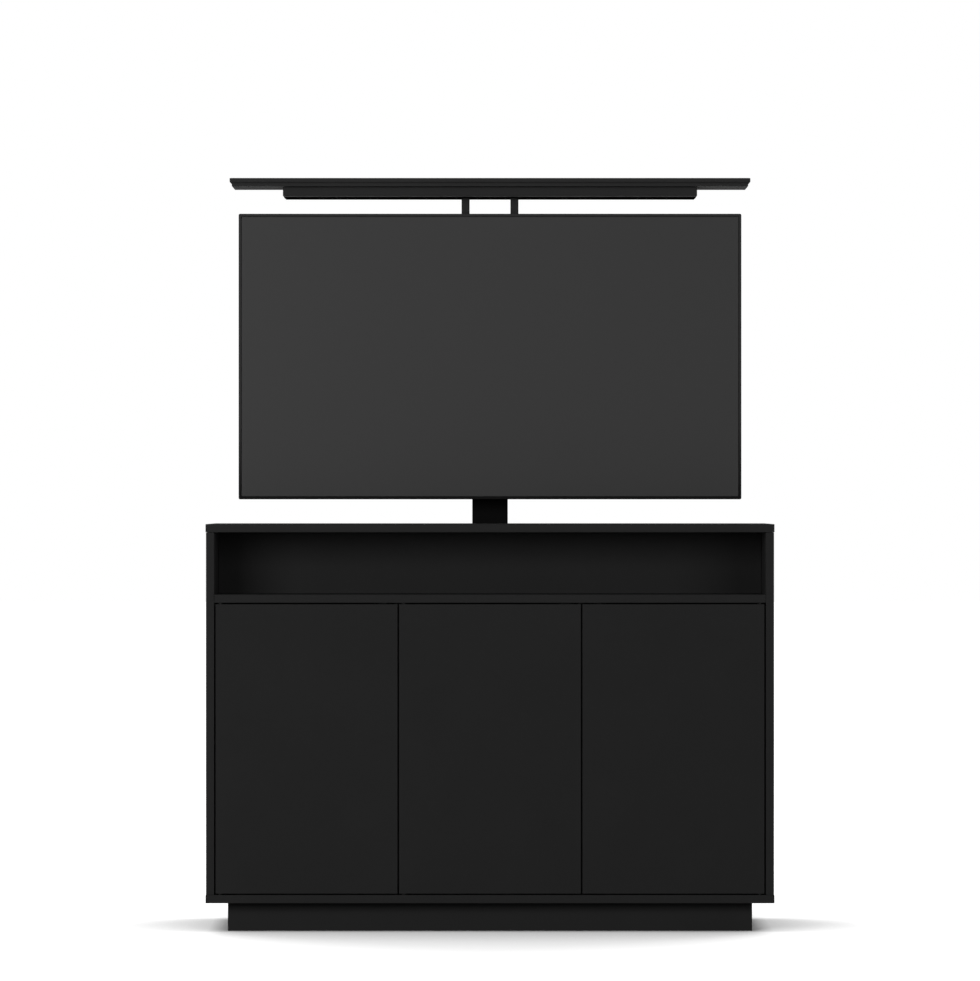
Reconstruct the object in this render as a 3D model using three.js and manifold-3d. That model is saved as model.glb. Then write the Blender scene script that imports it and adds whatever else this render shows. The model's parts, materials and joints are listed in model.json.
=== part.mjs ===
// TV lift cabinet with its lift raised, in millimetres.
// X runs to the right, Y to the back and Z up. The origin is on the floor, under the middle of the cabinet.
import * as THREE from "three";
import { mergeVertices } from "three/addons/utils/BufferGeometryUtils.js";
import Module from "manifold-3d";

const wasm = await Module();
wasm.setup();

// Clearances
const FIT = 0.3; // between faces that are glued, screwed or laid together
const RUNNING = 0.3; // between a pin or rod and its bore, on the radius
const DOOR_GAP = 3; // round each door
const SWING_GAP = 1; // between a swinging door's back corner and the partitions
const SHELF_GAP = 0.5; // at each end of an inner shelf
const LID_GAP = 1.5; // between the lid and its slot
const TV_SIDE_GAP = 16.5; // between the TV and each end of the slot
const TV_FRONT_GAP = 6.5; // between the TV and the front of the slot
const HEAD_GAP = 6; // between the hanger plate and the outer collar that it passes
const SLOT_BACK_GAP = 2.5; // between the middle collar and the back of the slot
const STAGE_GAP = 1; // between the collars when the lift is down
const COLLAR_PLAY = 0.5; // between a collar and the tube that slides in it

// TV
const TV_WIDTH = 1125;
const TV_HEIGHT = 639;
const TV_CORNER = 3;
const BEZEL_DEPTH = 12;
const BEZEL_WIDTH = 6;
const SCREEN_RECESS = 1.5;
const SCREEN_THICKNESS = 6;
const COVER_RIM = 14;
const COVER_DEPTH = 40;
const BULGE_SIDE_MARGIN = 95;
const BULGE_TOP_MARGIN = 130;
const BULGE_BOTTOM_MARGIN = 22;
const BULGE_SLOPE = 34;
const BULGE_CORNER = 40;
const VENT_COUNT = 9;
const VENT_START = 205; // first vent from the middle
const VENT_PITCH = 25;
const VENT_LENGTH = 64;
const VENT_WIDTH = 6;
const VENT_DEPTH = 3;
const VENT_DROP = 22; // vents below the top of the flat back

// Carcase
const BOARD = 18;
const EASE = 0.8; // eased edges of boards
const SLOT_FLAT = 0.2; // flat at each end of a slot with round ends
const CARCASE_MARGIN = 62.5; // from each end of the TV to the end of the cabinet
const DEPTH = 450;
const SIDE_SETBACK = 1; // side panels behind the ends of the top and bottom boards
const PLINTH_HEIGHT = 64;
const PLINTH_INSET = 47;
const DOOR_HEIGHT = 636;
const NICHE_HEIGHT = 137;
const BACK_PANEL = 12;
const SERVICE_SPACE = 55.6; // between the lid's slot and the back panel
const SHELF_SETBACK = 6; // front edge of an inner shelf behind the partitions' front
const CABLE_HOLE_RADIUS = 30;
const CABLE_HOLE_RISE = 70; // centre of a cable hole above the bottom board
const OUTLET_WIDTH = 130;
const OUTLET_HEIGHT = 56;
const OUTLET_CORNER = 14;
const OUTLET_RISE = 60; // underside of the cable outlet above the bottom board
const OUTLET_X = 300;
const GROMMET_WALL = 3;
const GROMMET_FLANGE = 8;
const GROMMET_LIP = 2;

// Pivot hinges
const PIVOT_EDGE = 10; // pin axis in from the door's hinge edge
const PIVOT_FRONT = 7; // pin axis behind the door's front face
const PIVOT_RADIUS = 2.5;
const PIVOT_ENGAGE = 9; // pin length inside the door
const PIVOT_PLATE = 2.5;
const PIVOT_PLATE_WIDTH = 10;
const PIVOT_PLATE_LENGTH = 34;
const PLATE_SCREW_RADIUS = 1.8;
const PLATE_SCREW_END = 6.2; // last screw from the end of its plate
const BUSH_WALL = 1.2;
const BUSH_LENGTH = 11;
const BUSH_FLANGE = 1;
const BUSH_FLANGE_WIDTH = 2;

// Push latches
const LATCH_INSET = 34; // latch axis in from the door's free edge
const LATCH_WIDTH = 18;
const LATCH_HEIGHT = 16;
const LATCH_LENGTH = 58;
const LATCH_CORNER = 5;
const LATCH_CHAMFER = 1; // on the housing's back and the plunger's tip
const LATCH_FLANGE = 3;
const LATCH_FLANGE_SIDE = 10;
const LATCH_FLANGE_LENGTH = 30;
const PLUNGER_RADIUS = 3.5;
const PLUNGER_HEAD_RADIUS = 5;
const PLUNGER_HEAD = 4;
const PLUNGER_LENGTH = 34;
const PLUNGER_TRAVEL = 4;

// Lid
const LID_THICKNESS = 18;
const LID_LIP = 8.3;
const LID_BEVEL = 3.3;
const LID_REBATE = 5;
const LID_BACKSET = 3; // front edge of the lid behind the bay divider
const BATTEN_END = 118.5; // end of the batten in from the end of the lid
const BATTEN_THICKNESS = 21;
const BATTEN_FRONT = 26;
const BATTEN_BACK = 19;
const CARRIER_INSET = 3; // plate in from the ends and the back of the batten
const CARRIER_MARGIN = 17; // plate in front of the posts that it carries
const CARRIER_THICKNESS = 2;
const POST_SIZE = 18;
const POST_WALL = 2;
const POST_CORNER = 3;
const POST_SPREAD = 110; // between the posts' middles
const POST_SETBACK = 6; // front of a post behind the front of the lift head

// Lift
const TV_RISE = 54.5; // underside of the raised TV above the cabinet
const TV_HEADROOM = 38.5; // between the TV and the carrier plate
const HEAD_DROP = 64.5; // top of the lift head below the top of the TV
const HEAD_PLATE = 6;
const HEAD_WIDTH = 164;
const HEAD_CORNER = 4;
const HANGER_THICKNESS = 5;
const HANGER_WIDTH = 380;
const HANGER_EDGE = 41; // the hanger plate below its lowest bolts
const HANGER_CORNER = 16;
const WINDOW_WIDTH = 100;
const WINDOW_HEIGHT = 120;
const WINDOW_RISE = 40; // underside of the window above the bottom of the hanger plate
const GUSSET = 5;
const GUSSET_DROP = 120;
const GUSSET_NOSE = 14;
const GUSSET_GAP = 4; // between a gusset and the outer collar
const RAIL_SPACING = 300;
const RAIL_WIDTH = 32;
const RAIL_DEPTH = 14;
const RAIL_WALL = 2;
const RAIL_LENGTH = 380;
const RAIL_SLOTS = 5;
const RAIL_SLOT_PITCH = 70;
const RAIL_SLOT_LENGTH = 34;
const RAIL_SLOT_WIDTH = 7;
const HANGER_BOLTS = 2; // in each rail, through its upper slots
const MIDDLE_WIDTH = 80;
const MIDDLE_DEPTH = 62;
const TUBE_WALL = 2.5;
const TUBE_CORNER = 6;
const TUBE_STEP = 2.5; // from the inner face of one tube to the next tube
const TUBE_BOTTOM_STEP = 8; // each tube above the foot of the one around it when the lift is down
const COLLAR_FLANGE = 4;
const COLLAR_OVERHANG = 2;
const COLLAR_SLEEVE = 26;
const BASE_PLATE = 6;
const BASE_MARGIN = 26;
const BASE_CORNER = 10;
const BASE_HOLE_RADIUS = 4.5;
const GEARBOX_WIDTH = 74;
const GEARBOX_HEIGHT = 62;
const GEARBOX_CORNER = 10;
const GEARBOX_RIBS = 5;
const GEARBOX_RIB = 3;
const MOTOR_RADIUS = 27;
const MOTOR_LENGTH = 128;
const MOTOR_CAP = 16;
const MOTOR_STEP = 2.5;
const CONTROL_WIDTH = 190;
const CONTROL_HEIGHT = 96;
const CONTROL_DEPTH = 34;
const CONTROL_CORNER = 6;
const CONTROL_RISE = 70; // control box above the bottom board
const CONTROL_X = -290;
const SOCKET_COUNT = 5;
const SOCKET_WIDTH = 16;
const SOCKET_PITCH = 30;
const SOCKET_DEPTH = 9;

// Levels, from the floor up
const bottomBoardZ = PLINTH_HEIGHT;
const doorOpeningZ = bottomBoardZ + BOARD;
const doorZ = doorOpeningZ + DOOR_GAP;
const nicheShelfZ = doorZ + DOOR_HEIGHT + DOOR_GAP;
const nicheZ = nicheShelfZ + BOARD;
const topBoardZ = nicheZ + NICHE_HEIGHT;
const cabinetTop = topBoardZ + BOARD;
const innerHeight = topBoardZ - doorOpeningZ;

// Widths, from the middle out
const cabinetWidth = TV_WIDTH + 2 * CARCASE_MARGIN;
const sideOuterX = cabinetWidth / 2 - SIDE_SETBACK;
const sideInnerX = sideOuterX - BOARD;
const doorWidth = (2 * sideInnerX - 4 * DOOR_GAP) / 3;
const doorPitch = doorWidth + DOOR_GAP;
const partitionX = doorPitch / 2;

// Depths, from the front back
const frontY = -DEPTH / 2;
const backY = DEPTH / 2;
const doorBackY = frontY + BOARD;
const pivotY = frontY + PIVOT_FRONT;
const partitionFrontY = pivotY + Math.hypot(PIVOT_EDGE, BOARD - PIVOT_FRONT) + SWING_GAP;
const backPanelFrontY = backY - BACK_PANEL;

// The lift's stack, from the back panel forward: column, hanger plate, rails and TV.
// The bay divider stands in front of it, and the niche has the depth that is left
const outerWidth = MIDDLE_WIDTH + 2 * (TUBE_STEP + TUBE_WALL);
const outerDepth = MIDDLE_DEPTH + 2 * (TUBE_STEP + TUBE_WALL);
const innerWidth = MIDDLE_WIDTH - 2 * (TUBE_STEP + TUBE_WALL);
const innerDepth = MIDDLE_DEPTH - 2 * (TUBE_STEP + TUBE_WALL);
const slotBackY = backPanelFrontY - SERVICE_SPACE;
const columnY = slotBackY - SLOT_BACK_GAP - COLLAR_OVERHANG - MIDDLE_DEPTH / 2;
const hangerBackY = columnY - outerDepth / 2 - COLLAR_OVERHANG - HEAD_GAP;
const hangerFrontY = hangerBackY - HANGER_THICKNESS;
const railFrontY = hangerFrontY - FIT - RAIL_DEPTH;
const coverFrontY = railFrontY - FIT - COVER_DEPTH;
const tvFrontY = coverFrontY - FIT - BEZEL_DEPTH;
const slotFrontY = tvFrontY - TV_FRONT_GAP;
const lidFrontY = slotFrontY + LID_GAP - LID_REBATE;
const dividerBackY = lidFrontY - LID_BACKSET;
const dividerFrontY = dividerBackY - BOARD;

// Lid, and the slot that it closes
const slotWidth = TV_WIDTH + 2 * TV_SIDE_GAP;
const slotDepth = slotBackY - slotFrontY;
const lidWidth = slotWidth - 2 * LID_GAP + 2 * LID_REBATE;
const lidDepth = slotDepth - 2 * LID_GAP + 2 * LID_REBATE;
const lidY = (slotFrontY + slotBackY) / 2;
const battenWidth = lidWidth - 2 * BATTEN_END;
const battenDepth = lidDepth - BATTEN_FRONT - BATTEN_BACK;
const battenY = lidFrontY + BATTEN_FRONT + battenDepth / 2;

// Heights with the lift raised
const tvBottom = cabinetTop + TV_RISE;
const tvTop = tvBottom + TV_HEIGHT;
const carrierBottom = tvTop + TV_HEADROOM;
const battenBottom = carrierBottom + CARRIER_THICKNESS;
const lidBottom = battenBottom + BATTEN_THICKNESS;
const lidTop = lidBottom + LID_THICKNESS;
const headTop = tvTop - HEAD_DROP;
const headBottom = headTop - HEAD_PLATE;

// The travel brings the lid flush with the cabinet. The tubes are as long as the lowered stack lets them be
const travel = lidTop - cabinetTop;
const headBottomDown = headBottom - travel;
const middleTopDown = headBottomDown - STAGE_GAP - COLLAR_FLANGE - FIT;
const outerTop = middleTopDown - STAGE_GAP - COLLAR_FLANGE;
const baseTop = doorOpeningZ + FIT + BASE_PLATE;
const outerBottom = baseTop + FIT;
const middleBottom = outerBottom + TUBE_BOTTOM_STEP + travel / 2;
const middleTop = middleTopDown + travel / 2;
const innerBottom = outerBottom + 2 * TUBE_BOTTOM_STEP + travel;
const innerTop = headBottom - FIT;

const laminate = { color: 0x222223, roughness: 0.6, metalness: 0 };
const blackSteel = { color: 0x151516, roughness: 0.5, metalness: 0.4 };
const postPaint = { color: 0x262728, roughness: 0.55, metalness: 0.3 };
const zinc = { color: 0x9a9c9e, roughness: 0.35, metalness: 0.9 };
const blackPlastic = { color: 0x19191a, roughness: 0.6, metalness: 0 };
const greyPlastic = { color: 0x5c5e60, roughness: 0.55, metalness: 0 };
const bezelPlastic = { color: 0x1b1b1c, roughness: 0.45, metalness: 0 };
const screenFace = { color: 0x3a3a3b, roughness: 0.35, metalness: 0 };

const cabinet = new THREE.Group();

function addPiece(name, finish, geometry, x, y, z) {
  const mesh = new THREE.Mesh(geometry, new THREE.MeshStandardMaterial(finish));
  mesh.name = name;
  mesh.position.set(x, y, z);
  cabinet.add(mesh);
}

// A closed geometry as a solid that can be joined and cut
function toSolid(geometry) {
  const bare = geometry.clone();
  bare.deleteAttribute("normal");
  bare.deleteAttribute("uv");
  const merged = mergeVertices(bare, 0.0005);
  const corners = merged.getIndex().array;
  const faces = [];
  for (let i = 0; i < corners.length; i += 3) {
    const [a, b, c] = [corners[i], corners[i + 1], corners[i + 2]];
    if (a !== b && b !== c && c !== a) faces.push(a, b, c);
  }
  const vertProperties = new Float32Array(merged.getAttribute("position").array);
  const triVerts = new Uint32Array(faces);
  return new wasm.Manifold(new wasm.Mesh({ numProp: 3, vertProperties, triVerts }));
}

function toGeometry(solid) {
  const mesh = solid.getMesh();
  const geometry = new THREE.BufferGeometry();
  geometry.setAttribute("position", new THREE.BufferAttribute(new Float32Array(mesh.vertProperties), 3));
  geometry.setIndex(new THREE.BufferAttribute(new Uint32Array(mesh.triVerts), 1));
  geometry.computeVertexNormals();
  return geometry;
}

function join(first, ...others) {
  return toGeometry(others.reduce((solid, other) => solid.add(toSolid(other)), toSolid(first)));
}

function cut(first, ...others) {
  return toGeometry(others.reduce((solid, other) => solid.subtract(toSolid(other)), toSolid(first)));
}

// Points of a rectangle with round corners, anticlockwise and centred on the origin
function roundedPoints(width, height, radius, steps) {
  const points = [];
  const corners = [[1, 1], [-1, 1], [-1, -1], [1, -1]];
  corners.forEach(([sideX, sideY], quarter) => {
    for (let step = 0; step <= steps; step++) {
      const angle = (quarter + step / steps) * (Math.PI / 2);
      points.push(new THREE.Vector2(
        sideX * (width / 2 - radius) + radius * Math.cos(angle),
        sideY * (height / 2 - radius) + radius * Math.sin(angle),
      ));
    }
  });
  return points;
}

function roundedRectangle(width, height, radius, steps = 4) {
  return new THREE.Shape(roundedPoints(width, height, radius, steps));
}

function roundEnded(width, height, steps = 4) {
  return roundedRectangle(width, height, (Math.min(width, height) - SLOT_FLAT) / 2, steps);
}

// An outline raised along Z by height, from z = 0
function prism(outline, height) {
  return new THREE.ExtrudeGeometry(outline, { depth: height, bevelEnabled: false });
}

// A solid through rounded rectangles at rising heights, each as [width, depth, corner radius, z]
function lofted(levels, steps = 2) {
  const rings = levels.map(([width, depth, corner]) => roundedPoints(width, depth, corner, steps));
  const count = rings[0].length;
  const positions = rings.flatMap((ring, level) =>
    ring.flatMap((point) => [point.x, point.y, levels[level][3]]));
  const faces = [];
  for (let level = 0; level < levels.length - 1; level++) {
    for (let i = 0; i < count; i++) {
      const a = level * count + i;
      const b = level * count + ((i + 1) % count);
      faces.push(a, b, b + count, a, b + count, a + count);
    }
  }
  const top = (levels.length - 1) * count;
  for (let i = 1; i < count - 1; i++) {
    faces.push(0, i + 1, i);
    faces.push(top, top + i, top + i + 1);
  }
  const geometry = new THREE.BufferGeometry();
  geometry.setAttribute("position", new THREE.Float32BufferAttribute(positions, 3));
  geometry.setIndex(faces);
  geometry.computeVertexNormals();
  return geometry;
}

// A slab with eased edges, its faces looking up and down and its middle on the origin
function slab(width, depth, thickness, corner = EASE) {
  const half = thickness / 2;
  const easedCorner = Math.max(corner - EASE, EASE / 2);
  return lofted([
    [width - 2 * EASE, depth - 2 * EASE, easedCorner, -half],
    [width, depth, corner, EASE - half],
    [width, depth, corner, half - EASE],
    [width - 2 * EASE, depth - 2 * EASE, easedCorner, half],
  ]);
}

// Turns what looks up so that it looks forward
function facingFront(geometry) {
  return geometry.rotateX(Math.PI / 2);
}

// Turns an outline drawn in Y and Z, raised along Z, so that it stands in Y and Z and runs along X
function acrossX(geometry) {
  const turn = new THREE.Matrix4();
  turn.makeBasis(new THREE.Vector3(0, 1, 0), new THREE.Vector3(0, 0, 1), new THREE.Vector3(1, 0, 0));
  return geometry.applyMatrix4(turn);
}

function facingBoard(width, height, thickness = BOARD) {
  return facingFront(slab(width, height, thickness));
}

function uprightBoard(depth, height, thickness = BOARD) {
  return acrossX(slab(depth, height, thickness));
}

function cylinder(radius, height, sides = 32) {
  return new THREE.CylinderGeometry(radius, radius, height, sides).rotateX(Math.PI / 2);
}

// A profile of [radius, z] points turned about Z
function turned(profile, sides = 32) {
  const points = profile.map(([radius, z]) => new THREE.Vector2(radius, z));
  return new THREE.LatheGeometry(points, sides).rotateX(Math.PI / 2);
}

// A tube with round corners, raised along Z from z = 0
function tube(width, depth, wall, corner, height) {
  const outline = roundedRectangle(width, depth, corner);
  outline.holes.push(new THREE.Path(roundedPoints(width - 2 * wall, depth - 2 * wall, corner - wall, 4)));
  return prism(outline, height);
}

// Plinth: the front and back rails run through, the side rails stand between them
function addPlinth() {
  const height = PLINTH_HEIGHT - FIT;
  const length = cabinetWidth - 2 * PLINTH_INSET;
  const railY = DEPTH / 2 - PLINTH_INSET - BOARD / 2;
  const railX = length / 2 - BOARD / 2;
  const sideLength = 2 * railY - BOARD - 2 * FIT;
  addPiece("plinth_front", laminate, facingBoard(length, height), 0, -railY, height / 2);
  addPiece("plinth_back", laminate, facingBoard(length, height), 0, railY, height / 2);
  addPiece("plinth_left", laminate, uprightBoard(sideLength, height), -railX, 0, height / 2);
  addPiece("plinth_right", laminate, uprightBoard(sideLength, height), railX, 0, height / 2);
}

// Doors from left to right. side is the hinge side: -1 is left, 1 is right
const doors = [
  { name: "left", x: -doorPitch, side: -1 },
  { name: "middle", x: 0, side: -1 },
  { name: "right", x: doorPitch, side: 1 },
].map((door) => ({
  ...door,
  pivotX: door.x + door.side * (doorWidth / 2 - PIVOT_EDGE),
  latchX: door.x - door.side * (doorWidth / 2 - LATCH_INSET),
}));

// A hinge plate's middle is on the door's side of its pin
const plateShift = (PIVOT_PLATE_LENGTH - PIVOT_PLATE_WIDTH) / 2;

// The pockets for the hinge plates, as cutters through a board's face at z
function platePockets(z) {
  const reach = PIVOT_PLATE + FIT;
  const outline = roundedRectangle(
    PIVOT_PLATE_LENGTH + 2 * FIT,
    PIVOT_PLATE_WIDTH + 2 * FIT,
    PIVOT_PLATE_WIDTH / 2,
  );
  return doors.map((door) =>
    prism(outline, 2 * reach).translate(door.pivotX - door.side * plateShift, pivotY, z - reach));
}

function addCarcase() {
  const middleZ = doorOpeningZ + innerHeight / 2;
  const fittedWidth = 2 * (sideInnerX - FIT);
  const fittedHeight = innerHeight - 2 * FIT;

  const bottom = slab(cabinetWidth, DEPTH, BOARD).translate(0, 0, bottomBoardZ + BOARD / 2);
  addPiece("bottom_board", laminate, cut(bottom, ...platePockets(doorOpeningZ)), 0, 0, 0);

  const top = slab(cabinetWidth, DEPTH, BOARD).translate(0, 0, topBoardZ + BOARD / 2);
  addPiece("top_board", laminate, cut(top, lidRecess()), 0, 0, 0);

  const sideX = sideInnerX + BOARD / 2;
  addPiece("side_left", laminate, uprightBoard(DEPTH, fittedHeight), -sideX, 0, middleZ);
  addPiece("side_right", laminate, uprightBoard(DEPTH, fittedHeight), sideX, 0, middleZ);

  const divider = facingBoard(fittedWidth, fittedHeight).translate(0, 0, middleZ);
  const cableHoles = [-doorPitch, doorPitch].map((x) =>
    facingFront(cylinder(CABLE_HOLE_RADIUS, 2 * BOARD)).translate(x, 0, doorOpeningZ + CABLE_HOLE_RISE));
  addPiece("bay_divider", laminate, cut(divider, ...cableHoles), 0, dividerFrontY + BOARD / 2, 0);

  const nicheDepth = dividerFrontY - FIT - frontY;
  const shelf = slab(fittedWidth, nicheDepth, BOARD);
  shelf.translate(0, frontY + nicheDepth / 2, nicheShelfZ + BOARD / 2);
  addPiece("niche_shelf", laminate, cut(shelf, ...platePockets(nicheShelfZ)), 0, 0, 0);

  const partitionDepth = dividerFrontY - FIT - partitionFrontY;
  const partitionHeight = nicheShelfZ - doorOpeningZ - 2 * FIT;
  const partitionZ = (doorOpeningZ + nicheShelfZ) / 2;
  for (const [name, side] of [["left", -1], ["right", 1]]) {
    const board = uprightBoard(partitionDepth, partitionHeight);
    const y = partitionFrontY + partitionDepth / 2;
    addPiece(`partition_${name}`, laminate, board, side * partitionX, y, partitionZ);
  }

  const endBay = sideInnerX - partitionX - BOARD / 2;
  const middleBay = 2 * partitionX - BOARD;
  const shelfDepth = partitionDepth - SHELF_SETBACK;
  const shelfY = dividerFrontY - FIT - shelfDepth / 2;
  const bays = [["left", endBay, -1], ["middle", middleBay, 0], ["right", endBay, 1]];
  for (const [name, width, side] of bays) {
    const board = slab(width - 2 * SHELF_GAP, shelfDepth, BOARD);
    addPiece(`shelf_${name}`, laminate, board, side * (sideInnerX - endBay / 2), shelfY, partitionZ);
  }

  const outletZ = doorOpeningZ + OUTLET_RISE + OUTLET_HEIGHT / 2;
  const back = facingBoard(fittedWidth, fittedHeight, BACK_PANEL).translate(0, 0, middleZ);
  const outletShape = roundedRectangle(OUTLET_WIDTH, OUTLET_HEIGHT, OUTLET_CORNER);
  const outlet = facingFront(prism(outletShape, 2 * BACK_PANEL)).translate(OUTLET_X, BACK_PANEL, outletZ);
  addPiece("back_panel", laminate, cut(back, outlet), 0, backPanelFrontY + BACK_PANEL / 2, 0);
  addPiece("cable_grommet", blackPlastic, grommet(), OUTLET_X, backY, outletZ);
}

// The liner of the cable outlet, with its lip on the inside of the back panel. The back of it is at y = 0
function grommet() {
  const lip = prism(
    roundedRectangle(
      OUTLET_WIDTH + 2 * GROMMET_FLANGE,
      OUTLET_HEIGHT + 2 * GROMMET_FLANGE,
      OUTLET_CORNER + GROMMET_FLANGE,
    ),
    GROMMET_LIP,
  ).translate(0, 0, BACK_PANEL + FIT);
  const sleeve = prism(
    roundedRectangle(OUTLET_WIDTH - 2 * FIT, OUTLET_HEIGHT - 2 * FIT, OUTLET_CORNER - FIT),
    BACK_PANEL + FIT + GROMMET_LIP / 2,
  );
  const wall = FIT + GROMMET_WALL;
  const bore = prism(
    roundedRectangle(OUTLET_WIDTH - 2 * wall, OUTLET_HEIGHT - 2 * wall, OUTLET_CORNER - wall),
    3 * BACK_PANEL,
  ).translate(0, 0, -BACK_PANEL);
  return facingFront(cut(join(lip, sleeve), bore));
}

// A door with the bores for its two hinge bushes, standing from z = 0 with its middle on the Y axis
function addDoors() {
  const boreRadius = PIVOT_RADIUS + RUNNING + BUSH_WALL + FIT;
  for (const door of doors) {
    const x = door.pivotX - door.x;
    const board = facingBoard(doorWidth, DOOR_HEIGHT).translate(0, BOARD / 2, DOOR_HEIGHT / 2);
    const bores = [0, DOOR_HEIGHT].map((z) =>
      cylinder(boreRadius, 2 * (BUSH_LENGTH + FIT)).translate(x, PIVOT_FRONT, z));
    addPiece(`door_${door.name}`, laminate, cut(board, ...bores), door.x, frontY, doorZ);
  }
}

// A plate with its pin, let into the board below the door, its top face at z = 0
function pivotPin(side) {
  const outline = roundEnded(PIVOT_PLATE_LENGTH, PIVOT_PLATE_WIDTH);
  const plate = prism(outline, PIVOT_PLATE).translate(-side * plateShift, 0, -PIVOT_PLATE);
  const length = DOOR_GAP + PIVOT_ENGAGE;
  const pin = cylinder(PIVOT_RADIUS, length + PIVOT_PLATE / 2, 24);
  pin.translate(0, 0, length / 2 - PIVOT_PLATE / 4);
  const screwPitch = (PIVOT_PLATE_LENGTH - PIVOT_PLATE_WIDTH / 2 - PLATE_SCREW_END) / 2;
  const screws = [1, 2].map((step) =>
    cylinder(PLATE_SCREW_RADIUS, 4 * PIVOT_PLATE, 12).translate(-side * step * screwPitch, 0, 0));
  return cut(join(plate, pin), ...screws);
}

// A flanged bush under the door, its flange against the door's lower edge at z = 0
function pivotBush() {
  const bore = PIVOT_RADIUS + RUNNING;
  const outer = bore + BUSH_WALL;
  const flange = outer + BUSH_FLANGE_WIDTH;
  return turned([
    [bore, -FIT - BUSH_FLANGE],
    [flange, -FIT - BUSH_FLANGE],
    [flange, -FIT],
    [outer, -FIT],
    [outer, BUSH_LENGTH],
    [bore, BUSH_LENGTH],
    [bore, -FIT - BUSH_FLANGE],
  ], 24);
}

function addPivots() {
  for (const door of doors) {
    addPiece(`pivot_pin_lower_${door.name}`, zinc, pivotPin(door.side), door.pivotX, pivotY, doorOpeningZ);
    addPiece(`pivot_bush_lower_${door.name}`, greyPlastic, pivotBush(), door.pivotX, pivotY, doorZ);
    const upperPin = pivotPin(-door.side).rotateY(Math.PI);
    addPiece(`pivot_pin_upper_${door.name}`, zinc, upperPin, door.pivotX, pivotY, nicheShelfZ);
    const upperBush = pivotBush().rotateX(Math.PI);
    const doorTop = doorZ + DOOR_HEIGHT;
    addPiece(`pivot_bush_upper_${door.name}`, greyPlastic, upperBush, door.pivotX, pivotY, doorTop);
  }
}

// Push latches under the niche shelf, each with a plunger that meets the back of its door
function addLatches() {
  const tipY = doorBackY + FIT;
  const latchFrontY = tipY + PLUNGER_HEAD + PLUNGER_TRAVEL + FIT;
  const plungerBackY = tipY + PLUNGER_LENGTH;
  const boreDepth = plungerBackY + PLUNGER_TRAVEL + FIT - latchFrontY;
  const z = nicheShelfZ - FIT - LATCH_HEIGHT / 2;
  const backWidth = LATCH_WIDTH - 2 * LATCH_CHAMFER;
  const backHeight = LATCH_HEIGHT - 2 * LATCH_CHAMFER;
  const body = facingFront(lofted([
    [backWidth, backHeight, LATCH_CORNER - LATCH_CHAMFER, -LATCH_LENGTH],
    [LATCH_WIDTH, LATCH_HEIGHT, LATCH_CORNER, LATCH_CHAMFER - LATCH_LENGTH],
    [LATCH_WIDTH, LATCH_HEIGHT, LATCH_CORNER, 0],
  ], 4));
  const flangeWidth = LATCH_WIDTH + 2 * LATCH_FLANGE_SIDE;
  const flange = prism(roundedRectangle(flangeWidth, LATCH_FLANGE_LENGTH, LATCH_CORNER), LATCH_FLANGE);
  flange.translate(0, LATCH_LENGTH / 2, LATCH_HEIGHT / 2 - LATCH_FLANGE);
  const bore = facingFront(cylinder(PLUNGER_RADIUS + RUNNING, 2 * boreDepth, 24));
  const housing = cut(join(body, flange), bore);
  const plunger = facingFront(turned([
    [0, -PLUNGER_LENGTH],
    [PLUNGER_RADIUS, -PLUNGER_LENGTH],
    [PLUNGER_RADIUS, -PLUNGER_HEAD],
    [PLUNGER_HEAD_RADIUS, -PLUNGER_HEAD],
    [PLUNGER_HEAD_RADIUS, -LATCH_CHAMFER],
    [PLUNGER_HEAD_RADIUS - LATCH_CHAMFER, 0],
    [0, 0],
  ], 24));
  for (const door of doors) {
    addPiece(`latch_housing_${door.name}`, greyPlastic, housing.clone(), door.latchX, latchFrontY, z);
    addPiece(`latch_plunger_${door.name}`, greyPlastic, plunger.clone(), door.latchX, tipY, z);
  }
}

// The lid's outline from its underside up: a rebated lower part, a bevel and a lip.
// grow widens it on every side, and drop is how far the underside and the bevel lie lower
function lidForm(grow, drop, levels) {
  return lofted(levels.map(([inset, z]) => {
    const width = lidWidth + 2 * grow - 2 * inset;
    const depth = lidDepth + 2 * grow - 2 * inset;
    return [width, depth, EASE + LID_REBATE - inset, z - drop];
  }));
}

function lidRecess() {
  const bevelTop = LID_THICKNESS - LID_LIP;
  const recess = lidForm(LID_GAP, FIT, [
    [LID_REBATE, -BOARD],
    [LID_REBATE, bevelTop - LID_BEVEL],
    [0, bevelTop],
    [0, LID_THICKNESS + BOARD],
  ]);
  return recess.translate(0, lidY, cabinetTop - LID_THICKNESS);
}

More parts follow.
